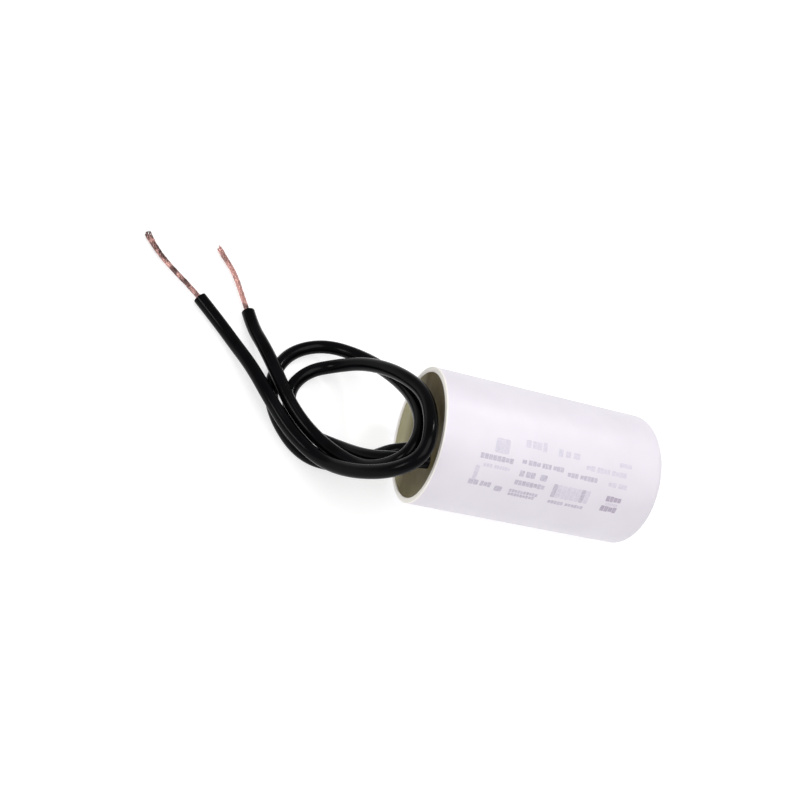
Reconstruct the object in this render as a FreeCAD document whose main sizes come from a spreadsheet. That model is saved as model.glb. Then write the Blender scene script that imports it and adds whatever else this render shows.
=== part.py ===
import FreeCAD, Part
import math
import os

import Sketcher

# Motor run capacitor in a round moulded can: a wound film element potted in resin,
# with two insulated leads that come out of the open end and lie in a loose loop.
# The can lies on its side. The origin is on the surface that it lies on, below the
# middle of the can's length. +X runs along the can from its open rim to its closed end,
# and +Z is up. Lengths are in millimetres.

Vector = FreeCAD.Vector
doc = FreeCAD.newDocument("run_capacitor")

# Driving dimensions
DIMENSIONS = [
    ("can_length", 61.5, "open rim to the closed end's outer face"),
    ("can_diameter", 35.0, "outside of the can"),
    ("can_wall", 1.4, "wall of the can"),
    ("can_floor", 1.4, "thickness of the closed end"),
    ("closed_edge_round", 2.0, "outer edge of the closed end"),
    ("floor_edge_break", 0.8, "inner edge of the cavity's floor"),
    ("rim_break", 0.25, "both edges of the rim"),
    ("gate_diameter", 3.5, "dimple left by the moulding gate"),
    ("gate_depth", 0.25, "depth of that dimple"),
    ("standoff_count", 4, "ribs that hold the wound element off the floor"),
    ("standoff_height", 2.2, "height of a rib"),
    ("standoff_width", 1.2, "width of a rib"),
    ("standoff_start", 4.0, "inner end of a rib, from the can's axis"),
    ("standoff_end", 12.0, "outer end of a rib, from the can's axis"),
    ("resin_recess", 0.6, "rim to the flat of the resin"),
    ("meniscus_rise", 0.3, "how far the resin creeps up the wall"),
    ("meniscus_width", 1.3, "width of that creep"),
    ("winding_length", 44.0, "width of the wound film"),
    ("wrap_thickness", 0.3, "outer wrap of the winding"),
    ("core_diameter", 7.0, "outside of the winding core"),
    ("core_wall", 1.0, "wall of the winding core"),
    ("spray_thickness", 0.6, "sprayed metal on each end of the winding"),
    ("lead_diameter", 3.6, "outside of a lead's insulation"),
    ("lead_side_clearance", 0.15, "room beside the lead that passes the winding"),
    ("exit_to_wall", 2.0, "wall of the cavity to the outer lead where it leaves the resin"),
    ("exit_spacing", 5.8, "between the two leads where they leave the resin"),
    ("copper_diameter", 1.5, "stranded conductor"),
    ("copper_seat", 2.4, "length of bare conductor held in the insulation's end"),
    ("copper_clearance", 0.04, "room round the conductor in that seat"),
    ("solder_diameter", 5.0, "base of a solder joint"),
    ("solder_top_diameter", 2.6, "top of a solder joint"),
    ("solder_height", 2.0, "height of a solder joint"),
    ("solder_bed", 0.3, "solder under the conductor"),
    ("joint_reach", 4.5, "length of conductor laid on a sprayed end"),
    ("bare_bend", 1.6, "bend of the bare conductor at a joint"),
    ("potted_bend", 4.5, "bends of the lead inside the resin"),
]

# Sizes and places that follow from them, depths being measured from the rim
FOLLOWING = [
    ("can_radius", "Dims.can_diameter / 2"),
    ("cavity_radius", "can_radius - Dims.can_wall"),
    ("floor_depth", "Dims.can_length - Dims.can_floor"),
    ("wrap_radius", "cavity_radius - Dims.lead_diameter - Dims.lead_side_clearance"),
    ("winding_radius", "wrap_radius - Dims.wrap_thickness"),
    ("core_radius", "Dims.core_diameter / 2"),
    ("core_bore_radius", "core_radius - Dims.core_wall"),
    ("far_face_depth", "floor_depth - Dims.standoff_height"),
    ("winding_far_depth", "far_face_depth - Dims.spray_thickness"),
    ("winding_near_depth", "winding_far_depth - Dims.winding_length"),
    ("near_face_depth", "winding_near_depth - Dims.spray_thickness"),
    ("meniscus_radius", "cavity_radius - Dims.meniscus_width"),
    ("meniscus_depth", "Dims.resin_recess - Dims.meniscus_rise"),
    ("side_lead_radius", "(wrap_radius + cavity_radius) / 2"),
    ("copper_radius", "Dims.copper_diameter / 2"),
    ("joint_height", "Dims.solder_bed + copper_radius"),
    ("joint_radius", "(core_radius + winding_radius) / 2"),
    ("exit_radius_1", "cavity_radius - Dims.lead_diameter / 2 - Dims.exit_to_wall"),
    ("exit_radius_2", "exit_radius_1 - Dims.exit_spacing"),
]


def fill_sheet(name, rows):
    """A sheet with a name, a value and a note in each row, the value under an alias."""
    table = doc.addObject("Spreadsheet::Sheet", name)
    for number, (alias, value, note) in enumerate(rows, start=1):
        table.set(f"A{number}", alias)
        table.set(f"B{number}", value)
        table.set(f"C{number}", note)
        table.setAlias(f"B{number}", alias)
    doc.recompute()
    return table


dims = fill_sheet("Dims", [(alias, str(value), note) for alias, value, note in DIMENSIONS])
fits = fill_sheet("Fits", [(alias, "=" + rule, "") for alias, rule in FOLLOWING])
DRIVING_NAMES = {alias for alias, value, note in DIMENSIONS}


def size(alias):
    """The present value of a cell."""
    table = dims if alias in DRIVING_NAMES else fits
    return float(table.get(alias))


def cell(alias):
    """The same cell as a term for an expression."""
    return ("Dims." if alias in DRIVING_NAMES else "Fits.") + alias


# The loop of the leads: points in front of the rim (negative) or behind it (positive)
# along X, then Y, then height above the surface. Each lead leaves the resin, drops to
# the surface, goes once round the loop, leans on the leads in front of the can's mouth
# and runs over its own first pass to its stripped end.
LEAD_1_LOOP = [
    (-5.2, -10.0, 21.8), (-12.1, -7.4, 14.0), (-17.6, -1.6, 5.8), (-23.8, 2.2, 2.0),
    (-29.5, 7.4, 1.85), (-30.1, 14.9, 1.9), (-25.6, 20.6, 3.2), (-19.2, 22.1, 6.2),
    (-13.4, 19.8, 14.2), (-7.8, 13.2, 23.2), (-3.2, 4.7, 29.8), (-2.7, -5.5, 32.6),
    (-4.0, -13.6, 31.2), (-9.6, -16.2, 25.7), (-16.5, -13.4, 16.2), (-22.2, -7.9, 8.3),
    (-29.4, -0.7, 5.8), (-35.7, 7.9, 5.8), (-40.9, 16.7, 4.8), (-45.9, 24.3, 2.4),
    (-50.7, 30.3, 1.85), (-56.4, 36.3, 1.85),
]
LEAD_2_LOOP = [
    (-5.0, -5.7, 19.5), (-10.2, -5.3, 9.2), (-16.2, -5.9, 3.2), (-25.6, -4.0, 1.85),
    (-33.0, 5.0, 1.85), (-35.6, 15.0, 1.85), (-31.7, 25.2, 2.2), (-22.4, 29.4, 4.2),
    (-12.7, 25.4, 8.8), (-6.7, 16.9, 16.0), (-3.3, 7.2, 23.0), (-2.7, -3.2, 27.2),
    (-5.9, -11.8, 26.7), (-11.3, -12.5, 18.1), (-16.5, -8.2, 11.3), (-24.0, -0.2, 6.4),
    (-30.4, 7.4, 6.0), (-34.7, 15.8, 6.2), (-38.6, 23.9, 5.0), (-41.5, 30.4, 2.4),
    (-43.2, 35.6, 1.85),
]
LEAD_1_BARE = [(-65.4, 45.3, 1.6), (-72.9, 53.4, 1.0)]
LEAD_2_BARE = [(-47.4, 45.6, 1.8), (-53.4, 55.6, 1.0)]
LEAD_1_EXIT_DEPTH = 2.6
LEAD_2_EXIT_DEPTH = 3.4
BEND_SHARE = 0.45
# Angles about the can's axis from straight up towards -Y
EXIT_ANGLE = 58.6
SIDE_LEAD_ANGLE = 97.1


def placed(depth, across, height):
    """A point given by its depth behind the rim, its Y and its height."""
    return Vector(depth - size("can_length") / 2, across, height)


def from_axis(depth, radius, direction):
    """A point inside the can, at a radius from its axis along a unit direction (Y, Z)."""
    return placed(depth, radius * direction[0], size("can_radius") + radius * direction[1])


def direction_at(angle):
    """The unit direction (Y, Z) at an angle from straight up towards -Y."""
    return -math.sin(math.radians(angle)), math.cos(math.radians(angle))


def rounded_route(points, bends):
    """A wire of straight runs joined by tangent arcs.

    bends holds a radius for each inner point, or None where the arc is as large as
    BEND_SHARE of the shorter run allows. Returns the wire and the radii used.
    """
    edges = []
    radii = []
    start = points[0]
    for before, corner, after, bend in zip(points, points[1:], points[2:], bends):
        back = before - corner
        ahead = after - corner
        shorter = min(back.Length, ahead.Length)
        back.normalize()
        ahead.normalize()
        half_turn = (math.pi - back.getAngle(ahead)) / 2
        radius = BEND_SHARE * shorter / math.tan(half_turn)
        if bend is not None:
            radius = min(radius, bend)
        cut = radius * math.tan(half_turn)
        inward = back + ahead
        inward.normalize()
        middle = corner + inward * (math.hypot(cut, radius) - radius)
        edges.append(Part.LineSegment(start, corner + back * cut).toShape())
        edges.append(Part.Arc(corner + back * cut, middle, corner + ahead * cut).toShape())
        radii.append(radius)
        start = corner + ahead * cut
    edges.append(Part.LineSegment(start, points[-1]).toShape())
    return Part.Wire(edges), radii


def swept_round(label, points, bends, radius_rule):
    """A round rod along a route: path, section circle and sweep."""
    wire, radii = rounded_route(points, bends)
    path = doc.addObject("Part::Feature", label + "_path")
    path.Shape = wire
    circle = doc.addObject("Part::Circle", label + "_section")
    circle.setExpression("Radius", radius_rule)
    turn = FreeCAD.Rotation(Vector(0, 0, 1), points[1] - points[0])
    circle.Placement = FreeCAD.Placement(points[0], turn)
    rod = doc.addObject("Part::Sweep", label)
    rod.Sections = [circle]
    rod.Spine = (path, [f"Edge{number}" for number in range(1, len(wire.Edges) + 1)])
    rod.Solid = True
    rod.Frenet = False
    doc.recompute()
    return rod, radii, wire.Length


def cut_away(label, base, *tools):
    """base with each tool cut from it in turn; the last cut carries the label."""
    result = base
    for number, tool in enumerate(tools, start=1):
        cut = doc.addObject("Part::Cut", f"{label}_cut_{number}")
        cut.Base = result
        cut.Tool = tool
        result = cut
    result.Label = label
    doc.recompute()
    return result


# Bodies turned about the can's axis: their own Z is the depth behind the rim
def lay_in_can(shape_object):
    """Turns an object's own Z to the can's axis, with its origin at the rim."""
    shape_object.Placement = FreeCAD.Placement(Vector(), FreeCAD.Rotation(Vector(0, 1, 0), 90))
    shape_object.setExpression("Placement.Base.x", "-Dims.can_length / 2")
    shape_object.setExpression("Placement.Base.z", "Fits.can_radius")


def origin_plane(body, role):
    return next(item for item in body.Origin.OriginFeatures if item.Role == role)


def hold(sketch, name, kind, *places):
    """A constraint between places in a sketch, with its value bound to a cell."""
    number = sketch.addConstraint(Sketcher.Constraint(kind, *places, size(name)))
    sketch.setExpression(f"Constraints[{number}]", cell(name))


def pin_corner(sketch, line, radius_name, depth_name):
    """Holds the start of a line at a named radius and depth, None being zero."""
    for kind, axis, name in (("DistanceX", -2, radius_name), ("DistanceY", -1, depth_name)):
        if name is None:
            sketch.addConstraint(Sketcher.Constraint("PointOnObject", line, 1, axis))
        else:
            hold(sketch, name, kind, -1, 1, line, 1)


def turned_body(label, corners):
    """A PartDesign body turned from a closed outline of (radius, depth) cell names.

    None stands for zero.
    """
    body = doc.addObject("PartDesign::Body", label)
    body.Label = label
    sketch = body.newObject("Sketcher::SketchObject", label + "_outline")
    sketch.AttachmentSupport = [(origin_plane(body, "XZ_Plane"), "")]
    sketch.MapMode = "FlatFace"
    spots = [
        Vector(size(radius) if radius else 0.0, size(depth) if depth else 0.0, 0.0)
        for radius, depth in corners
    ]
    for start, end in zip(spots, spots[1:] + spots[:1]):
        sketch.addGeometry(Part.LineSegment(start, end))
    for number in range(len(spots)):
        following = (number + 1) % len(spots)
        sketch.addConstraint(Sketcher.Constraint("Coincident", number, 2, following, 1))
    for number, (radius, depth) in enumerate(corners):
        pin_corner(sketch, number, radius, depth)
    turned = body.newObject("PartDesign::Revolution", label + "_turned")
    turned.Profile = sketch
    turned.ReferenceAxis = (sketch, ["V_Axis"])
    turned.Angle = 360
    lay_in_can(body)
    doc.recompute()
    return body


def dress_circles(body, kind, label, wanted, property_name, name):
    """Fillet or chamfer on the body's circular edges at the (radius, depth) pairs wanted."""
    base = body.Tip
    edges = []
    for number, edge in enumerate(base.Shape.Edges, start=1):
        if not isinstance(edge.Curve, Part.Circle):
            continue
        for radius, depth in wanted:
            off = abs(edge.Curve.Radius - radius) + abs(edge.Curve.Center.z - depth)
            if off < 1e-4:
                edges.append(f"Edge{number}")
    dressing = body.newObject(kind, label)
    dressing.Base = (base, edges)
    dressing.setExpression(property_name, cell(name))
    doc.recompute()


def sketch_across(body, label, depth_name):
    """An empty sketch square to the can's axis, at a named depth."""
    sketch = body.newObject("Sketcher::SketchObject", label)
    sketch.AttachmentSupport = [(origin_plane(body, "XY_Plane"), "")]
    sketch.MapMode = "FlatFace"
    sketch.setExpression("AttachmentOffset.Base.z", cell(depth_name))
    return sketch


def make_can():
    """Moulded cup: rounded closed end, broken edges, gate dimple and stand-off ribs."""
    body = turned_body("can", [
        (None, "can_length"), ("can_radius", "can_length"), ("can_radius", None),
        ("cavity_radius", None), ("cavity_radius", "floor_depth"), (None, "floor_depth"),
    ])
    outer = size("can_radius")
    inner = size("cavity_radius")
    dress_circles(
        body, "PartDesign::Fillet", "closed_edge",
        [(outer, size("can_length"))], "Radius", "closed_edge_round",
    )
    dress_circles(
        body, "PartDesign::Chamfer", "floor_edge",
        [(inner, size("floor_depth"))], "Size", "floor_edge_break",
    )
    dress_circles(
        body, "PartDesign::Chamfer", "rim_edges",
        [(outer, 0.0), (inner, 0.0)], "Size", "rim_break",
    )
    before = body.Tip.Shape.Volume
    outline = sketch_across(body, "gate_outline", "can_length")
    outline.addGeometry(Part.Circle(Vector(), Vector(0, 0, 1), size("gate_diameter") / 2))
    outline.addConstraint(Sketcher.Constraint("Coincident", 0, 3, -1, 1))
    hold(outline, "gate_diameter", "Diameter", 0)
    dimple = body.newObject("PartDesign::Pocket", "gate_dimple")
    dimple.Profile = outline
    dimple.setExpression("Length", cell("gate_depth"))
    doc.recompute()
    print("gate dimple takes", round(before - body.Tip.Shape.Volume, 2), "mm3")
    add_standoffs(body)
    return body


def add_standoffs(body):
    """Radial ribs on the cavity's floor, which carry the wound element."""
    outline = sketch_across(body, "standoff_outline", "floor_depth")
    inner = size("standoff_start")
    outer = size("standoff_end")
    half = size("standoff_width") / 2
    corners = [
        Vector(inner, -half, 0), Vector(outer, -half, 0),
        Vector(outer, half, 0), Vector(inner, half, 0),
    ]
    for start, end in zip(corners, corners[1:] + corners[:1]):
        outline.addGeometry(Part.LineSegment(start, end))
    for number in range(4):
        outline.addConstraint(
            Sketcher.Constraint("Coincident", number, 2, (number + 1) % 4, 1)
        )
    outline.addConstraint(Sketcher.Constraint("Horizontal", 0))
    outline.addConstraint(Sketcher.Constraint("Horizontal", 2))
    outline.addConstraint(Sketcher.Constraint("Vertical", 1))
    outline.addConstraint(Sketcher.Constraint("Symmetric", 3, 1, 3, 2, -1))
    hold(outline, "standoff_start", "DistanceX", -1, 1, 3, 1)
    hold(outline, "standoff_end", "DistanceX", -1, 1, 1, 1)
    hold(outline, "standoff_width", "DistanceY", 1, 1, 1, 2)
    # The lead that passes the winding lies midway between two ribs
    outline.AttachmentOffset = FreeCAD.Placement(
        Vector(0, 0, size("floor_depth")), FreeCAD.Rotation(Vector(0, 0, 1), 45)
    )
    outline.setExpression(
        "AttachmentOffset.Rotation.Angle",
        f"{180 + SIDE_LEAD_ANGLE:.3f} deg + 180 deg / Dims.standoff_count",
    )
    rib = body.newObject("PartDesign::Pad", "standoff")
    rib.Profile = outline
    rib.Reversed = True
    rib.setExpression("Length", cell("standoff_height"))
    doc.recompute()
    ring = body.newObject("PartDesign::PolarPattern", "standoff_ring")
    ring.Originals = [rib]
    ring.Axis = (outline, ["N_Axis"])
    ring.Angle = 360
    ring.setExpression("Occurrences", cell("standoff_count"))
    body.Tip = ring
    doc.recompute()


def make_element():
    """The wound element: film roll, core, outer wrap and the two sprayed ends."""
    ring = {
        "film_winding": ("core_radius", "winding_radius", "winding_near_depth", "winding_far_depth"),
        "winding_core": ("core_bore_radius", "core_radius", "near_face_depth", "far_face_depth"),
        "outer_wrap": ("winding_radius", "wrap_radius", "winding_near_depth", "winding_far_depth"),
        "near_end_spray": ("core_radius", "winding_radius", "near_face_depth", "winding_near_depth"),
        "far_end_spray": ("core_radius", "winding_radius", "winding_far_depth", "far_face_depth"),
    }
    return [
        turned_body(label, [(inner, near), (outer, near), (outer, far), (inner, far)])
        for label, (inner, outer, near, far) in ring.items()
    ]


def make_lead(number, inner_points, held_bends, loop, bare):
    """One lead: insulated rod, its stripped free end and its stripped soldered end.

    inner_points run from the end of the insulation inside the can to the last point
    before the free loop, and held_bends are the radii at the inner ones.
    """
    label = f"lead_{number}"
    outside = [placed(*point) for point in loop]
    points = inner_points + outside
    bends = held_bends + [None] * (len(points) - 2 - len(held_bends))
    rod, radii, length = swept_round(label + "_rod", points, bends, "Dims.lead_diameter / 2")
    free_radii = radii[len(held_bends):]
    print(label, "tube length", round(length, 1), "free bend radii",
          [round(radius, 1) for radius in free_radii])
    print(label, "volume over section times length",
          round(rod.Shape.Volume / (math.pi * (size("lead_diameter") / 2) ** 2 * length), 5))

    # The free end: bare conductor seated in the insulation and ending in a loose curve
    last_run = points[-1] - points[-2]
    last_run.normalize()
    seat = points[-1] - last_run * size("copper_seat")
    bare_points = [seat, points[-1] + last_run * 1.0] + [placed(*point) for point in bare]
    free_end, bare_radii, bare_length = swept_round(
        label + "_stripped_end", bare_points, [None] * (len(bare_points) - 2),
        "Fits.copper_radius",
    )
    free_end.Label = label + "_stripped_end"
    print(label, "bare end beyond the insulation", round(bare_length - size("copper_seat"), 1))
    return rod, free_end, points


def seat_bore(label, mouth, inward):
    """Cylinder that clears the conductor's seat in the end of the insulation."""
    bore = doc.addObject("Part::Cylinder", label)
    bore.setExpression("Radius", "Fits.copper_radius + Dims.copper_clearance")
    bore.setExpression("Height", "Dims.copper_seat + Dims.copper_clearance")
    bore.Placement = FreeCAD.Placement(mouth, FreeCAD.Rotation(Vector(0, 0, 1), inward))
    return bore


def soldered_conductor(label, seat, bend_point, end):
    """Bare conductor from its seat in the insulation to its bed on a sprayed end."""
    rod, radii, length = swept_round(
        label, [seat, bend_point, end], [size("bare_bend")], "Fits.copper_radius"
    )
    rod.Label = label
    return rod


def solder_cone(label, foot, outward):
    """Cone of solder on a sprayed end."""
    cone = doc.addObject("Part::Cone", label + "_cone")
    cone.setExpression("Radius1", "Dims.solder_diameter / 2")
    cone.setExpression("Radius2", "Dims.solder_top_diameter / 2")
    cone.setExpression("Height", "Dims.solder_height")
    cone.Placement = FreeCAD.Placement(foot, FreeCAD.Rotation(Vector(0, 0, 1), outward))
    doc.recompute()
    return cone


# Can and wound element
can = make_can()
element = make_element()

# Lead 1 ends on the sprayed face nearest the rim
exit_side = direction_at(EXIT_ANGLE)
bed_start = size("joint_radius") + size("joint_reach") / 2
bed_end = size("joint_radius") - size("joint_reach") / 2
joint_depth_1 = size("near_face_depth") - size("joint_height")
insulation_end_1 = joint_depth_1 - size("bare_bend") - size("copper_radius")
inner_end_1 = from_axis(insulation_end_1, bed_start, exit_side)
exit_1 = from_axis(LEAD_1_EXIT_DEPTH, size("exit_radius_1"), exit_side)
rod_1, free_end_1, points_1 = make_lead(
    1, [inner_end_1, exit_1], [None], LEAD_1_LOOP, LEAD_1_BARE
)
run_in_1 = inner_end_1 - exit_1
run_in_1.normalize()
joint_end_1 = soldered_conductor(
    "lead_1_soldered_end",
    inner_end_1 - run_in_1 * size("copper_seat"),
    inner_end_1 + run_in_1 * ((joint_depth_1 - insulation_end_1) / run_in_1.x),
    from_axis(joint_depth_1, bed_end, exit_side),
)

# Lead 2 passes beside the winding and ends on the sprayed face at the floor
lead_side = direction_at(SIDE_LEAD_ANGLE)
side_radius = size("side_lead_radius")
joint_depth_2 = size("far_face_depth") + size("joint_height")
insulation_end_2 = size("far_face_depth") - size("bare_bend")
turn_in_depth = size("near_face_depth") - size("potted_bend") / 2
inner_end_2 = from_axis(insulation_end_2, side_radius, lead_side)
exit_2 = from_axis(LEAD_2_EXIT_DEPTH, size("exit_radius_2"), exit_side)
rod_2, free_end_2, points_2 = make_lead(
    2,
    [inner_end_2, from_axis(turn_in_depth, side_radius, lead_side), exit_2],
    [size("potted_bend"), size("potted_bend")],
    LEAD_2_LOOP, LEAD_2_BARE,
)
joint_end_2 = soldered_conductor(
    "lead_2_soldered_end",
    inner_end_2 - Vector(size("copper_seat"), 0, 0),
    from_axis(joint_depth_2, side_radius, lead_side),
    from_axis(joint_depth_2, bed_end, lead_side),
)

# Insulation with a seat for the bare conductor at each end
leads = []
for number, rod, points in ((1, rod_1, points_1), (2, rod_2, points_2)):
    inner_bore = seat_bore(f"lead_{number}_inner_bore", points[0], points[1] - points[0])
    outer_bore = seat_bore(f"lead_{number}_outer_bore", points[-1], points[-2] - points[-1])
    leads.append(cut_away(f"lead_{number}", rod, inner_bore, outer_bore))

# Solder joints over the conductors' beds
foot_1 = from_axis(size("near_face_depth"), size("joint_radius"), exit_side)
foot_2 = from_axis(size("far_face_depth"), size("joint_radius"), lead_side)
joints = [
    cut_away("solder_joint_1", solder_cone("joint_1", foot_1, Vector(-1, 0, 0)), joint_end_1),
    cut_away("solder_joint_2", solder_cone("joint_2", foot_2, Vector(1, 0, 0)), joint_end_2),
]

# Resin: fills the can round everything that it holds, and the core's bore
resin_fill = turned_body("resin_fill", [
    (None, "resin_recess"), ("meniscus_radius", "resin_recess"),
    ("cavity_radius", "meniscus_depth"), ("cavity_radius", "floor_depth"), (None, "floor_depth"),
])
element_room = turned_body("element_room", [
    ("core_bore_radius", "near_face_depth"), ("wrap_radius", "near_face_depth"),
    ("wrap_radius", "far_face_depth"), ("core_bore_radius", "far_face_depth"),
])
resin = cut_away(
    "potting_resin", resin_fill, can, element_room, *leads, joint_end_1, joint_end_2, *joints
)

# Checks, then one file for each piece
pieces = [can, resin, *element, *leads, free_end_1, free_end_2, joint_end_1, joint_end_2, *joints]
doc.recompute()
for item in doc.Objects:
    if "Invalid" in item.State or "Error" in item.State:
        raise RuntimeError(f"{item.Label} failed: {item.State}")
os.makedirs("parts", exist_ok=True)
for piece in pieces:
    shape = piece.Shape
    if shape.isNull() or not shape.isValid() or len(shape.Solids) != 1:
        raise RuntimeError(f"{piece.Label} is not one valid solid")
    shape.exportStep(f"parts/{piece.Label}.step")
    print(f"{piece.Label}: {shape.Volume:.1f} mm3")
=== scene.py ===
import math
import random

import bmesh
import bpy
from mathutils import Matrix, Vector, noise


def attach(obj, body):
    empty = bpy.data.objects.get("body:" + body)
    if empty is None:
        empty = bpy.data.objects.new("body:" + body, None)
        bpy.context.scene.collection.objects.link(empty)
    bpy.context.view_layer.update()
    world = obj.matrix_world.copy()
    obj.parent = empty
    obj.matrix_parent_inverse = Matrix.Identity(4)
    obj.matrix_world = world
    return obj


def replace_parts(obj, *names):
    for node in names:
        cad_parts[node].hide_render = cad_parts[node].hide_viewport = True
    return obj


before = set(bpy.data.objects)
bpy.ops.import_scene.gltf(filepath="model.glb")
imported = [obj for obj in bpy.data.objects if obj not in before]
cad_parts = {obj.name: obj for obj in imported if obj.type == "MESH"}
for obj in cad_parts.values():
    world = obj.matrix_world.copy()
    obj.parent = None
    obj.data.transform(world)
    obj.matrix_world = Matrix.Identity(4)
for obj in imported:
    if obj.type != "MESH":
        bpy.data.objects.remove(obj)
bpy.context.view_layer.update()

# Motor run capacitor lying on its side. Sizes are written in millimetres and turned
# into metres as they are used. Depth is measured from the can's open rim along +X.
MM = 0.001
CAN_LENGTH = 61.5
CAN_RADIUS = 17.5
CAN_WALL = 1.4
CAVITY_RADIUS = CAN_RADIUS - CAN_WALL
INNER_END_DEPTH = CAN_LENGTH - CAN_WALL
LEAD_DIAMETER = 3.6

scene = bpy.context.scene
random.seed(7)


def metres(points):
    return [Vector(point) * MM for point in points]


def link_new(name, data):
    """A new object in the scene for a mesh, curve, camera or light."""
    thing = bpy.data.objects.new(name, data)
    scene.collection.objects.link(thing)
    return thing


# Camera, at the photograph's angle
EYE = Vector((-113.35, -115.8, 209.3)) * MM
AIM = Vector((-28.65, 20.2, 0.0)) * MM
ROLL = math.radians(39.25)
LENS = 42.75


def make_camera():
    """A camera at EYE that looks at AIM, rolled about its line of sight."""
    data = bpy.data.cameras.new("camera")
    data.sensor_width = 36.0
    data.lens = LENS
    data.clip_start = 0.01
    data.clip_end = 10.0
    camera = link_new("camera", data)
    forward = (AIM - EYE).normalized()
    level = forward.cross(Vector((0, 0, 1))).normalized()
    upright = level.cross(forward)
    right = level * math.cos(ROLL) + upright * math.sin(ROLL)
    up = upright * math.cos(ROLL) - level * math.sin(ROLL)
    turned = Matrix((right, up, -forward)).transposed().to_4x4()
    camera.matrix_world = Matrix.Translation(EYE) @ turned
    scene.camera = camera


make_camera()


# Materials
class Nodes:
    """A material's node tree, with short ways to add and join nodes."""

    def __init__(self, name):
        self.material = bpy.data.materials.new(name)
        self.material.use_nodes = True
        self.tree = self.material.node_tree
        self.shader = self.tree.nodes["Principled BSDF"]
        self.place = self.add("ShaderNodeTexCoord").outputs["Object"]

    def add(self, kind, **settings):
        node = self.tree.nodes.new(kind)
        for name, value in settings.items():
            setattr(node, name, value)
        return node

    def join(self, source, target):
        self.tree.links.new(source, target)

    def set(self, **values):
        for name, value in values.items():
            self.shader.inputs[name.replace("_", " ")].default_value = value

    def noise(self, scale, detail=3.0, roughness=0.5):
        """Noise over the object, its scale in waves per metre."""
        node = self.add("ShaderNodeTexNoise")
        node.inputs["Scale"].default_value = scale
        node.inputs["Detail"].default_value = detail
        node.inputs["Roughness"].default_value = roughness
        self.join(self.place, node.inputs["Vector"])
        return node.outputs["Fac"]

    def ramp(self, value, *stops):
        """A colour for a value; each stop is a place and a colour or a grey."""
        node = self.add("ShaderNodeValToRGB")
        elements = node.color_ramp.elements
        while len(elements) < len(stops):
            elements.new(0.5)
        for element, (at, colour) in zip(elements, stops):
            element.position = at
            shade = colour if isinstance(colour, tuple) else (colour, colour, colour)
            element.color = (*shade, 1.0)
        self.join(value, node.inputs["Fac"])
        return node.outputs["Color"]

    def mix(self, share, first, second):
        """Two colours mixed by a share; the second may be a fixed colour."""
        node = self.add("ShaderNodeMix", data_type="RGBA")
        share_in, first_in, second_in = node.inputs[0], node.inputs[6], node.inputs[7]
        self.join(share, share_in)
        self.join(first, first_in)
        if isinstance(second, tuple):
            second_in.default_value = (*second, 1.0)
        else:
            self.join(second, second_in)
        return node.outputs[2]

    def along(self, direction):
        """How far the place on the object lies along a direction, in metres."""
        node = self.add("ShaderNodeVectorMath", operation="DOT_PRODUCT")
        node.inputs[1].default_value = direction
        self.join(self.place, node.inputs[0])
        return node.outputs["Value"]

    def span(self, value, low, high):
        """0 at low to 1 at high."""
        node = self.add("ShaderNodeMapRange")
        node.inputs["From Min"].default_value = low
        node.inputs["From Max"].default_value = high
        self.join(value, node.inputs["Value"])
        return node.outputs["Result"]

    def colour(self, socket):
        self.join(socket, self.shader.inputs["Base Color"])

    def rough(self, value, low, high):
        node = self.add("ShaderNodeMapRange")
        node.inputs["To Min"].default_value = low
        node.inputs["To Max"].default_value = high
        self.join(value, node.inputs["Value"])
        self.join(node.outputs["Result"], self.shader.inputs["Roughness"])

    def bump(self, height, depth_mm, strength=1.0):
        node = self.add("ShaderNodeBump")
        node.inputs["Strength"].default_value = strength
        node.inputs["Distance"].default_value = depth_mm * MM
        self.join(height, node.inputs["Height"])
        self.join(node.outputs["Normal"], self.shader.inputs["Normal"])


def can_plastic():
    """Satin plastic with a lavender cast, creamier and brighter on the rim as a painted highlight.
    """
    n = Nodes("can_plastic")
    cloud = n.noise(90.0, 2.0)
    fine = n.noise(1400.0, 2.0)
    base = n.ramp(cloud, (0.3, (0.76, 0.72, 0.785)), (0.7, (0.795, 0.755, 0.82)))
    rim = -CAN_LENGTH / 2
    # Painted highlight: the rim's faces are coloured a brighter cream than the body.
    painted_rim_highlight = n.span(n.along((1.0, 0.0, 0.0)), (rim + 0.45) * MM, (rim + 0.15) * MM)
    n.colour(n.mix(painted_rim_highlight, base, (0.97, 0.93, 0.87)))
    n.rough(fine, 0.36, 0.48)
    n.bump(fine, 0.02, 0.35)
    n.set(Specular_IOR_Level=0.4)
    return n.material


def resin():
    """Olive-brown cured resin with painted shade: darker towards +Y, lighter towards -Y, and palest
    low on the +Y side.
    """
    n = Nodes("resin")
    broad = n.noise(110.0, 3.0)
    fine = n.noise(900.0, 4.0)
    dark = n.ramp(broad, (0.3, (0.078, 0.056, 0.016)), (0.7, (0.120, 0.090, 0.034)))
    light = n.ramp(broad, (0.3, (0.140, 0.118, 0.056)), (0.7, (0.20, 0.168, 0.095)))
    pale = n.ramp(broad, (0.3, (0.37, 0.345, 0.20)), (0.7, (0.46, 0.43, 0.27)))
    # Painted shade: the resin's tone runs from dark towards +Y to light towards -Y.
    painted_shade_fade = n.span(n.along((0.0, 1.0, 0.0)), -2 * MM, -15 * MM)
    low_side = n.span(n.along((0.0, 0.6, -0.8)), -10 * MM, -3 * MM)
    n.colour(n.mix(low_side, n.mix(painted_shade_fade, dark, light), pale))
    n.rough(fine, 0.35, 0.55)
    n.bump(broad, 0.12, 0.6)
    n.set(Specular_IOR_Level=0.05)
    return n.material


def insulation():
    """Glossy black, a little smeared."""
    n = Nodes("insulation")
    grain = n.noise(1500.0, 3.0)
    smear = n.noise(160.0, 3.0)
    n.colour(n.ramp(smear, (0.35, (0.0012, 0.0012, 0.0016)), (0.75, (0.003, 0.003, 0.0038))))
    n.rough(smear, 0.12, 0.24)
    n.bump(grain, 0.01, 0.3)
    n.set(Specular_IOR_Level=0.075)
    return n.material


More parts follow.
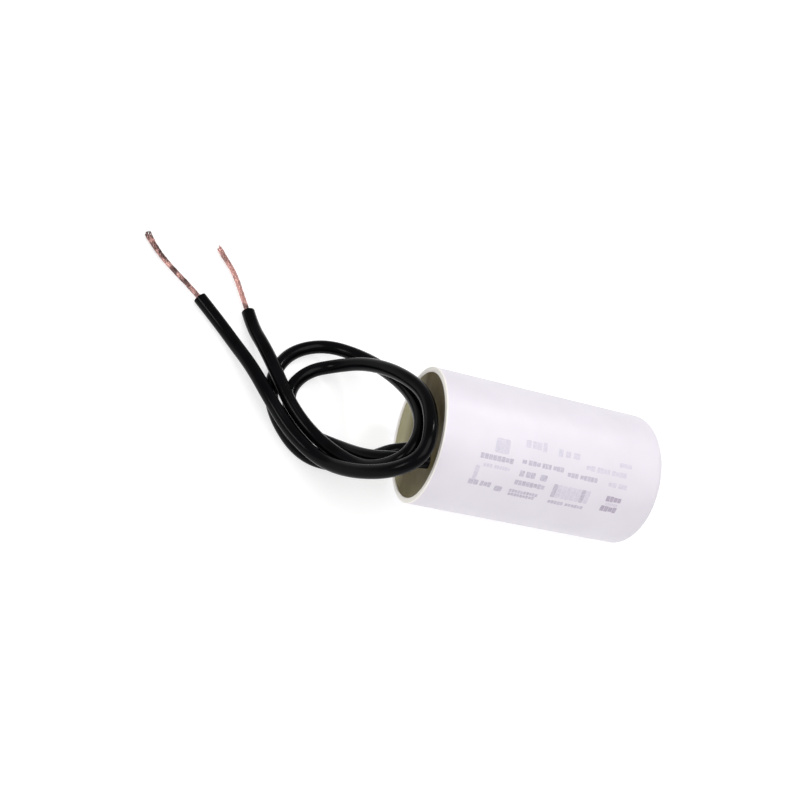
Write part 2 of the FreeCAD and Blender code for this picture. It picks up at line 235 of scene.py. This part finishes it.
def copper(name, bright_until, dark_from):
    """Pinkish strands with dull patches, which start where a noise passes two values."""
    n = Nodes(name)
    patch = n.noise(420.0, 3.0)
    fine = n.noise(2600.0, 2.0)
    bright = n.ramp(fine, (0.3, (0.60, 0.30, 0.27)), (0.7, (0.84, 0.52, 0.47)))
    dull = n.ramp(fine, (0.3, (0.10, 0.055, 0.05)), (0.7, (0.24, 0.14, 0.13)))
    n.colour(n.mix(n.ramp(patch, (bright_until, 0.0), (dark_from, 1.0)), bright, dull))
    n.rough(fine, 0.3, 0.5)
    n.bump(fine, 0.02, 0.4)
    n.set(Metallic=0.7)
    return n.material


def print_ink(name, light, dark):
    """Ink worn between a light and a dark tone."""
    n = Nodes(name)
    worn = n.noise(1500.0, 4.0, roughness=0.7)
    n.colour(n.ramp(worn, (0.36, light), (0.66, dark)))
    n.rough(worn, 0.4, 0.6)
    n.bump(worn, 0.008, 0.3)
    n.set(Specular_IOR_Level=0.35)
    return n.material


def plain_inner(name, dark, light, metallic, low, high, scale=700.0):
    """A grainy material for a piece inside the resin, its roughness from low to high."""
    n = Nodes(name)
    grain = n.noise(scale, 3.0)
    n.colour(n.ramp(grain, (0.3, dark), (0.7, light)))
    n.rough(grain, low, high)
    n.bump(grain, 0.03, 0.5)
    n.set(Metallic=metallic)
    return n.material


CAN = can_plastic()
RESIN = resin()
BLACK = insulation()
DULL_COPPER = copper("dull_copper", 0.36, 0.54)
COPPER = copper("copper", 0.48, 0.68)
INK = print_ink("print_ink", (0.63, 0.59, 0.68), (0.48, 0.44, 0.53))
FAINT_INK = print_ink("print_ink_faint", (0.72, 0.68, 0.765), (0.63, 0.595, 0.685))
DARK_INK = print_ink("print_ink_dark", (0.53, 0.465, 0.56), (0.405, 0.35, 0.445))


# Mesh pieces
def piece_from(name, mesh, material, smooth=True):
    """A mesh as a visible piece on the part's one body, in a material slot."""
    for polygon in mesh.polygons:
        polygon.use_smooth = smooth
    mesh.materials.append(material)
    piece = link_new(name, mesh)
    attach(piece, "root")
    return piece


def mesh_of(name, vertices, faces):
    """A mesh with every face turned outwards."""
    mesh = bpy.data.meshes.new(name)
    mesh.from_pydata(vertices, [], faces)
    mesh.validate()
    work = bmesh.new()
    work.from_mesh(mesh)
    bmesh.ops.recalc_face_normals(work, faces=work.faces)
    work.to_mesh(mesh)
    work.free()
    mesh.update()
    return mesh


def on_can(depth, radius, angle):
    """A point at a depth behind the rim, a radius from the axis and an angle from the
    top of the can towards the side that the camera sees."""
    return Vector((
        (depth - CAN_LENGTH / 2) * MM,
        -radius * math.sin(angle) * MM,
        (CAN_RADIUS + radius * math.cos(angle)) * MM,
    ))


# Leads: one spline each through its route, with the stripped conductor on its end
LEAD_1_ROUTE = [
    (-28.15, -10.5, 23.9), (-35.95, -10.0, 21.8), (-42.85, -7.4, 14.0), (-48.35, -1.6, 5.8),
    (-54.55, 2.2, 2.0), (-60.25, 7.4, 1.85), (-60.85, 14.9, 1.9), (-56.35, 20.6, 3.2),
    (-49.95, 22.1, 6.2), (-44.15, 19.8, 14.2), (-38.55, 13.2, 23.2), (-33.95, 4.7, 29.8),
    (-33.45, -5.5, 32.6), (-34.75, -13.6, 31.2), (-40.35, -16.2, 25.7), (-47.25, -13.4, 16.2),
    (-52.95, -7.9, 8.3), (-60.15, -0.7, 5.8), (-66.45, 7.9, 5.8), (-71.65, 16.7, 4.8),
    (-76.65, 24.3, 2.4), (-81.45, 30.3, 1.85), (-87.15, 36.3, 1.85),
]
LEAD_2_ROUTE = [
    (-27.35, -5.55, 20.9), (-35.75, -5.7, 19.5), (-40.95, -5.3, 9.2), (-46.95, -5.9, 3.2),
    (-56.35, -4.0, 1.85), (-63.75, 5.0, 1.85), (-66.35, 15.0, 1.85), (-62.45, 25.2, 2.2),
    (-53.15, 29.4, 4.2), (-43.45, 25.4, 8.8), (-37.45, 16.9, 16.0), (-34.05, 7.2, 23.0),
    (-33.45, -3.2, 27.2), (-36.65, -11.8, 26.7), (-42.05, -12.5, 18.1), (-47.25, -8.2, 11.3),
    (-54.75, -0.2, 6.4), (-61.15, 7.4, 6.0), (-65.45, 15.8, 6.2), (-69.35, 23.9, 5.0),
    (-72.25, 30.4, 2.4), (-73.95, 35.6, 1.85),
]
LEAD_1_BARE = [
    (-85.5, 34.6, 1.85), (-90.1, 39.1, 1.8), (-93.3, 41.9, 1.6), (-96.6, 44.9, 1.45),
    (-99.5, 48.0, 1.3), (-101.9, 51.2, 1.2), (-103.7, 54.2, 1.0),
]
LEAD_2_BARE = [
    (-73.2, 33.3, 2.05), (-75.2, 38.4, 1.75), (-76.6, 41.8, 1.7), (-78.1, 45.6, 1.6),
    (-80.1, 49.3, 1.5), (-82.7, 52.8, 1.3), (-84.4, 56.0, 1.0),
]


CORD_STEPS = 12
STRAND_STEPS = 10


def spline_curve(name, points, steps):
    """A curve of one smooth open spline with the route's points as its control points."""
    curve = bpy.data.curves.new(name, "CURVE")
    curve.dimensions = "3D"
    spline = curve.splines.new("NURBS")
    spline.points.add(len(points) - 1)
    for control, point in zip(spline.points, metres(points)):
        control.co = (*point, 1.0)
    spline.order_u = 3
    spline.use_endpoint_u = True
    spline.resolution_u = steps
    curve.resolution_u = steps
    return curve


def read_line(name, points, steps):
    """Points along a route's spline."""
    holder = link_new(name, spline_curve(name, points, steps))
    line = bpy.data.meshes.new_from_object(holder)
    places = [vertex.co.copy() for vertex in line.vertices]
    bpy.data.objects.remove(holder)
    return places


def carried_frames(line):
    """At each point of a line, two unit vectors square to it that don't twist about it."""
    frames = []
    side = None
    for number, point in enumerate(line):
        before = line[max(number - 1, 0)]
        after = line[min(number + 1, len(line) - 1)]
        along = (after - before).normalized()
        if side is None:
            side = along.orthogonal().normalized()
        side = (side - along * side.dot(along)).normalized()
        frames.append((side, along.cross(side)))
    return frames


def add_rod(vertices, faces, line, radius, sides):
    """Adds a closed rod along a line to a list of vertices and faces."""
    first = len(vertices)
    for point, (side, other) in zip(line, carried_frames(line)):
        for turn in range(sides):
            angle = math.tau * turn / sides
            vertices.append(point + (side * math.cos(angle) + other * math.sin(angle)) * radius)
    for ring in range(len(line) - 1):
        for turn in range(sides):
            following = (turn + 1) % sides
            low = first + ring * sides
            faces.append((low + turn, low + following, low + sides + following, low + sides + turn))
    faces.append(tuple(first + turn for turn in reversed(range(sides))))
    last = first + (len(line) - 1) * sides
    faces.append(tuple(last + turn for turn in range(sides)))


# Strands of a stripped end: each ring's count, radius and first angle
STRAND_RINGS = [(1, 0.0, 0.0), (6, 0.27, 0.3), (12, 0.54, 0.1)]
STRAND_RADIUS = 0.15
STRAND_LOWEST = 0.17
STRAND_SIDES = 7
UNEVEN_CUT = 1.6
OPENS_FROM = 0.55


def distances(line):
    """How far along a line each of its points lies."""
    reach = [0.0]
    for before, after in zip(line, line[1:]):
        reach.append(reach[-1] + (after - before).length)
    return reach


def strand_line(line, ring_radius, start, lay, splay):
    """One strand's way: it turns once in each lay, wavers, and opens towards the tip."""
    reach = distances(line)
    whole = reach[-1]
    wander = random.uniform(0.0, 50.0)
    cut = whole - random.uniform(0.0, UNEVEN_CUT) * MM
    places = []
    for point, (side, other), along in zip(line, carried_frames(line), reach):
        if along > cut:
            break
        loose = max(0.0, (along / whole - OPENS_FROM) / (1.0 - OPENS_FROM))
        drift = noise.noise(Vector((wander, along * 260.0, 0.0)))
        lean = noise.noise(Vector((0.0, wander, along * 200.0)))
        angle = start + math.tau * along / (lay * MM) + 0.35 * drift
        radius = ring_radius * (1.0 + 0.14 * lean + splay * loose**2 * (0.4 + abs(drift)))
        place = point + (side * math.cos(angle) + other * math.sin(angle)) * radius * MM
        place.z = max(place.z, STRAND_LOWEST * MM)
        places.append(place)
    return places


def strand_bundle(name, points, lay, splay, material, node):
    """The stripped conductor: fine strands twisted together, opening at the tip."""
    line = read_line(name + "_route", points, STRAND_STEPS)
    vertices = []
    faces = []
    for count, ring_radius, first_angle in STRAND_RINGS:
        for number in range(count):
            start = math.tau * number / count + first_angle + random.uniform(-0.08, 0.08)
            places = strand_line(line, ring_radius, start, lay, splay)
            add_rod(vertices, faces, places, STRAND_RADIUS * MM, STRAND_SIDES)
    piece = piece_from(name, mesh_of(name, vertices, faces), material)
    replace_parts(piece, node)
    return piece


def make_lead(number, route, bare, lay, splay, metal):
    """A lead's insulation as a free cord, with its stripped end on it. The lay is one
    turn of the strands."""
    curve = spline_curve(f"lead_{number}_cord", route, CORD_STEPS)
    curve.bevel_depth = LEAD_DIAMETER / 2 * MM
    curve.bevel_resolution = 7
    curve.use_fill_caps = True
    curve.materials.append(BLACK)
    cord = link_new(f"lead_{number}_cord", curve)
    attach(cord, "root")
    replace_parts(cord, f"lead_{number}")
    strands = strand_bundle(
        f"lead_{number}_strands", bare, lay, splay, metal, f"lead_{number}_stripped_end"
    )


make_lead(
    1, LEAD_1_ROUTE, LEAD_1_BARE,
    lay=9.0, splay=1.0, metal=DULL_COPPER,
)
make_lead(
    2, LEAD_2_ROUTE, LEAD_2_BARE,
    lay=11.0, splay=0.3, metal=COPPER,
)


# Can: one turned solid with a rounded closed end, a flat rim and the gate's dimple
END_ROUND = 2.0
INNER_EDGE_BREAK = 0.8
RIM_BREAK = 0.25
GATE_RADIUS = 1.75
GATE_DEPTH = 0.25
GATE_ROUND = 0.1
OUTSIDE_WAVER = 0.02
CAN_TURNS = 192


def rounded_corner(centre_depth, centre_radius, size, start, end, steps):
    """Points of a quarter round as (depth, radius), its angles from the +depth axis."""
    points = []
    for step in range(steps + 1):
        turn = math.radians(start + (end - start) * step / steps)
        points.append((centre_depth + size * math.cos(turn), centre_radius + size * math.sin(turn)))
    return points


def turned_mesh(name, outline, turns, waver):
    """A closed solid turned from an outline that starts and ends on the can's axis."""
    vertices = [on_can(outline[0][0], 0.0, 0.0)]
    rows = outline[1:-1]
    for depth, radius in rows:
        for turn in range(turns):
            angle = math.tau * turn / turns
            spot = Vector((math.sin(angle) * 1.3, math.cos(angle) * 1.3, depth * 0.05))
            vertices.append(on_can(depth, radius + waver * noise.noise(spot), angle))
    vertices.append(on_can(outline[-1][0], 0.0, 0.0))
    faces = []
    for turn in range(turns):
        following = (turn + 1) % turns
        faces.append((0, 1 + turn, 1 + following))
        last = 1 + (len(rows) - 1) * turns
        faces.append((len(vertices) - 1, last + following, last + turn))
        for row in range(len(rows) - 1):
            low = 1 + row * turns
            faces.append((low + turn, low + turns + turn, low + turns + following, low + following))
    return mesh_of(name, vertices, faces)


def make_can():
    """The can's section, from the dimple round the outside and the rim to the cavity's floor."""
    end = CAN_LENGTH
    dimple = end - GATE_DEPTH
    outline = [(dimple, 0.0), (dimple, 0.8), (dimple + 0.01, GATE_RADIUS - 0.25)]
    outline += rounded_corner(dimple + GATE_ROUND, GATE_RADIUS, GATE_ROUND, 180, 90, 3)[1:-1]
    outline += [(end - 0.05, GATE_RADIUS + 0.11), (end, GATE_RADIUS + 0.25)]
    outline += [(end, 4.0), (end, 8.0), (end, 12.0)]
    outline += rounded_corner(end - END_ROUND, CAN_RADIUS - END_ROUND, END_ROUND, 0, 90, 12)
    outline += [(depth, CAN_RADIUS) for depth in range(57, 1, -2)]
    outline += rounded_corner(RIM_BREAK, CAN_RADIUS - RIM_BREAK, RIM_BREAK, 90, 180, 5)
    outline += [(0.0, CAN_RADIUS - CAN_WALL / 2)]
    outline += rounded_corner(RIM_BREAK, CAVITY_RADIUS + RIM_BREAK, RIM_BREAK, 180, 270, 5)
    outline += [(1.0, CAVITY_RADIUS), (2.0, CAVITY_RADIUS), (4.0, CAVITY_RADIUS)]
    inner = INNER_END_DEPTH
    outline += [(inner - INNER_EDGE_BREAK, CAVITY_RADIUS), (inner, CAVITY_RADIUS - INNER_EDGE_BREAK)]
    outline += [(inner, 8.0), (inner, 0.0)]
    mesh = turned_mesh("can_shell", outline, CAN_TURNS, OUTSIDE_WAVER)
    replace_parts(piece_from("can_shell", mesh, CAN), "can")


make_can()


# Resin: an uneven cured skin over the flat of the potting, drawn up at the wall and
# round the leads
LEAD_EXITS = [(-10.4, 23.4), (-5.6, 20.5)]
SKIN_DEPTH = 0.5
SKIN_BOTTOM = 1.3
SKIN_OVERLAP = 0.02
CREEP_FROM = 13.6
CREEP_RISE = 0.26
LEAD_RISE = 0.32
LEAD_RISE_WIDTH = 0.7


def resin_depth(across, height):
    """Depth of the cured surface behind the rim."""
    reach = math.hypot(across, height - CAN_RADIUS)
    depth = SKIN_DEPTH + 0.06 * noise.noise(Vector((across * 0.16, height * 0.16, 3.0)))
    depth += 0.02 * noise.noise(Vector((across * 0.7, height * 0.7, 8.0)))
    edge = max(0.0, (reach - CREEP_FROM) / (CAVITY_RADIUS - CREEP_FROM))
    depth -= CREEP_RISE * edge**2
    for lead_across, lead_height in LEAD_EXITS:
        gap = math.hypot(across - lead_across, height - lead_height) - LEAD_DIAMETER / 2
        depth -= LEAD_RISE * math.exp(-max(gap, 0.0) / LEAD_RISE_WIDTH)
    return max(depth, 0.1)


def make_resin_skin():
    """Two layers of rings, the cured surface and a flat bottom, joined at the wall."""
    turns = 144
    rows = 40
    layer = rows * turns
    vertices = []
    faces = []
    for cured in (True, False):
        for row in range(rows):
            radius = (CAVITY_RADIUS + SKIN_OVERLAP) * (row + 1) / rows
            for turn in range(turns):
                angle = math.tau * turn / turns
                point = on_can(0.0, radius, angle)
                depth = resin_depth(point.y / MM, point.z / MM) if cured else SKIN_BOTTOM
                vertices.append(on_can(depth, radius, angle))
    centre_top = len(vertices)
    vertices.append(on_can(resin_depth(0.0, CAN_RADIUS), 0.0, 0.0))
    vertices.append(on_can(SKIN_BOTTOM, 0.0, 0.0))
    for turn in range(turns):
        following = (turn + 1) % turns
        faces.append((centre_top, turn, following))
        faces.append((centre_top + 1, layer + following, layer + turn))
        for row in range(rows - 1):
            low = row * turns
            faces.append((low + turn, low + turns + turn, low + turns + following, low + following))
            low += layer
            faces.append((low + turn, low + following, low + turns + following, low + turns + turn))
        low = (rows - 1) * turns
        faces.append((low + turn, low + layer + turn, low + layer + following, low + following))
    piece_from("resin_skin", mesh_of("resin_skin", vertices, faces), RESIN)


make_resin_skin()


# Print: rows of plain blocks in pale ink, each a thin skin on the can
LONGEST_EDGE = 0.9
INK_ABOVE = 0.03
INK_BELOW = 0.06
BLOCK_GAP = 0.14
print_patches = []


def add_patch(outline, depth, angle, material):
    """Notes a flat patch inside an outline of (along, around) millimetres, cut into edges
    short enough to follow the can, with its place and its ink."""
    work = bmesh.new()
    work.faces.new([work.verts.new((x, y, 0.0)) for x, y in outline])
    bmesh.ops.triangulate(work, faces=work.faces[:])
    for cut in range(3):
        long_edges = [edge for edge in work.edges if edge.calc_length() > LONGEST_EDGE]
        if long_edges:
            bmesh.ops.subdivide_edges(work, edges=long_edges, cuts=1)
            bmesh.ops.triangulate(work, faces=work.faces[:])
    flat = bpy.data.meshes.new("flat_patch")
    work.to_mesh(flat)
    work.free()
    print_patches.append((flat, depth, angle, material))


def bar(depth, angle, length, height, material=INK, corner=0.35):
    """A rounded bar of ink, centred at a depth and an angle, in millimetres and degrees."""
    corner = min(corner, height / 2, length / 2)
    outline = []
    for along, around, start in ((1, 1, 0), (-1, 1, 90), (-1, -1, 180), (1, -1, 270)):
        centre_x = along * (length / 2 - corner)
        centre_y = around * (height / 2 - corner)
        for step in range(5):
            turn = math.radians(start + 90 * step / 4)
            outline.append((centre_x + corner * math.cos(turn), centre_y + corner * math.sin(turn)))
    add_patch(outline, depth, angle, material)


def words(depth, angle, lengths, height, gap=0.55, material=INK):
    """A row of words, each a group of small blocks, which starts at a depth."""
    for length in lengths:
        count = max(1, round(length / (0.75 * height + 0.1)))
        pitch = length / count
        for number in range(count):
            tall = height * random.choice((1.0, 1.0, 0.8))
            bar(depth + (number + 0.5) * pitch, angle, pitch - BLOCK_GAP, tall, material, 0.12)
        depth += length + gap


def bar_block(depth, angle, length, height, count):
    """A block of upright bars, the first and the last but one in the darker ink."""
    for number in range(count):
        place = depth + (number + 0.5) * length / count - length / 2
        ink = INK if number in (0, count - 2) else FAINT_INK
        bar(place, angle, 1.2, height, ink, 0.3)


# Each row and block, with its depth behind the rim and its angle from the top
bar(15.5, 25.8, 3.8, 3.6, FAINT_INK, 0.5)
words(21.5, 19.6, [1.5, 2.6, 1.2], 2.3, 0.3, FAINT_INK)
words(30.6, 21.2, [1.3, 1.5, 1.9], 1.9, 0.7, FAINT_INK)
words(10.2, 36.1, [8.9], 1.3)
words(11.6, 43.0, [2.4, 4.3], 0.9, 0.4, FAINT_INK)
bar(10.4, 50.5, 1.1, 3.8, FAINT_INK, 0.3)
words(9.3, 59.0, [2.7, 3.0], 1.4, 0.4)
bar(17.5, 60.8, 2.0, 1.5)
words(21.3, 34.3, [1.3, 3.4, 2.6, 3.1], 1.2, 0.4)
words(34.1, 36.9, [3.1, 5.0], 1.2, 0.5)
words(21.4, 43.9, [1.4, 2.6], 1.5, 0.4)
bar(28.1, 44.0, 1.9, 1.6)
words(20.9, 51.8, [8.3], 1.3)
words(20.4, 60.0, [7.9], 0.9)
words(20.5, 63.4, [7.3], 0.9)
bar_block(36.7, 52.5, 10.6, 3.6, 8)
words(31.5, 62.9, [4.4, 5.2], 1.0, 0.5)
words(38.8, 28.2, [2.6, 3.8, 4.4], 1.3, 0.5, FAINT_INK)
bar(49.9, 20.2, 3.6, 1.1, FAINT_INK)
words(45.9, 37.7, [2.4, 2.6], 1.2, 0.5, FAINT_INK)
words(46.6, 49.7, [4.4], 1.5, 0.4, DARK_INK)
words(46.1, 59.1, [4.7], 1.6, 0.4, DARK_INK)
words(47.0, 54.4, [3.6], 0.7, 0.4, FAINT_INK)


def add_wrapped(vertices, faces, flat, depth, angle):
    """Adds a patch to a list of vertices and faces, as a closed skin bent round the can."""
    first = len(vertices)
    count = len(flat.vertices)
    for radius in (CAN_RADIUS + INK_ABOVE, CAN_RADIUS - INK_BELOW):
        for vertex in flat.vertices:
            around = math.radians(angle) + vertex.co.y / CAN_RADIUS
            vertices.append(on_can(depth + vertex.co.x, radius, around))
    work = bmesh.new()
    work.from_mesh(flat)
    for face in work.faces:
        corners = [vertex.index for vertex in face.verts]
        faces.append(tuple(first + corner for corner in corners))
        faces.append(tuple(first + count + corner for corner in reversed(corners)))
    for edge in work.edges:
        if edge.is_boundary:
            one, two = (vertex.index for vertex in edge.verts)
            faces.append((first + one, first + two, first + count + two, first + count + one))
    work.free()


def make_print():
    """Joins the patches of each ink into one piece."""
    for ink in (INK, FAINT_INK, DARK_INK):
        vertices = []
        faces = []
        for flat, depth, angle, patch_ink in print_patches:
            if patch_ink is ink:
                add_wrapped(vertices, faces, flat, depth, angle)
        mesh = mesh_of(ink.name, vertices, faces)
        piece_from(ink.name, mesh, ink, smooth=False)


make_print()


# CAD pieces that stay: the resin's body and the wound element inside it
def finish_node(name, material):
    node = bpy.data.objects[name]
    node.data.materials.clear()
    node.data.materials.append(material)


FILM = plain_inner("film", (0.55, 0.56, 0.58), (0.75, 0.76, 0.78), 0.6, 0.25, 0.45)
CORE = plain_inner("core_plastic", (0.78, 0.77, 0.70), (0.86, 0.85, 0.79), 0.0, 0.4, 0.55)
WRAP = plain_inner("wrap_film", (0.80, 0.78, 0.70), (0.90, 0.88, 0.82), 0.0, 0.2, 0.35)
SPRAY = plain_inner("sprayed_metal", (0.38, 0.38, 0.37), (0.62, 0.62, 0.60), 0.8, 0.55, 0.8, 2200.0)
SOLDER = plain_inner("solder", (0.52, 0.52, 0.54), (0.70, 0.70, 0.72), 0.9, 0.2, 0.4)
for node, material in (
    ("potting_resin", RESIN), ("film_winding", FILM), ("winding_core", CORE), ("outer_wrap", WRAP),
    ("near_end_spray", SPRAY), ("far_end_spray", SPRAY),
    ("solder_joint_1", SOLDER), ("solder_joint_2", SOLDER),
    ("lead_1_soldered_end", COPPER), ("lead_2_soldered_end", COPPER),
):
    finish_node(node, material)


# Floor and soft studio light
def make_floor():
    """A wide pale sheet that glows a little, so that it shows white with faint shadows."""
    mesh = bpy.data.meshes.new("floor")
    half = 3.0
    corners = [(-half, -half, 0), (half, -half, 0), (half, half, 0), (-half, half, 0)]
    mesh.from_pydata(corners, [], [(0, 1, 2, 3)])
    floor = link_new("floor", mesh)
    n = Nodes("floor")
    paper = n.noise(6.0, 2.0)
    n.colour(n.ramp(paper, (0.3, 0.44), (0.7, 0.46)))
    n.set(Roughness=0.9, Specular_IOR_Level=0.1, Emission_Strength=0.68)
    n.shader.inputs["Emission Color"].default_value = (1.0, 1.0, 1.0, 1.0)
    mesh.materials.append(n.material)


def area_light(name, place, target, size, power):
    """A square white light at a place and aimed at a target in millimetres, its size in metres."""
    data = bpy.data.lights.new(name, "AREA")
    data.shape = "SQUARE"
    data.size = size
    data.energy = power
    light = link_new(name, data)
    light.location = Vector(place) * MM
    aim = Vector(target) * MM - light.location
    light.rotation_mode = "QUATERNION"
    light.rotation_quaternion = aim.to_track_quat("-Z", "Y")


# Strength of the surroundings at the horizon and, from a slope upwards, overhead
HORIZON = 0.84
OVERHEAD = 0.37
OVERHEAD_FROM = 0.18


def studio_world():
    """White surroundings, dimmer overhead than at the horizon where the floor ends."""
    world = bpy.data.worlds.new("studio")
    world.use_nodes = True
    tree = world.node_tree
    place = tree.nodes.new("ShaderNodeTexCoord")
    split = tree.nodes.new("ShaderNodeSeparateXYZ")
    fade = tree.nodes.new("ShaderNodeMapRange")
    fade.inputs["From Max"].default_value = OVERHEAD_FROM
    fade.inputs["To Min"].default_value = HORIZON
    fade.inputs["To Max"].default_value = OVERHEAD
    tree.links.new(place.outputs["Generated"], split.inputs[0])
    tree.links.new(split.outputs["Z"], fade.inputs["Value"])
    background = tree.nodes["Background"]
    background.inputs["Color"].default_value = (1.0, 1.0, 1.0, 1.0)
    tree.links.new(fade.outputs["Result"], background.inputs["Strength"])
    return world


make_floor()
area_light("softbox", (-20, -110, 620), (-10, 0, 10), 0.5, 2.3)
area_light("back", (180, 260, 480), (-40, 0, 15), 0.08, 0.72)
area_light("left", (-430, -110, 250), (-40, 0, 15), 0.12, 0.34)
scene.world = studio_world()
scene.view_settings.view_transform = "Standard"
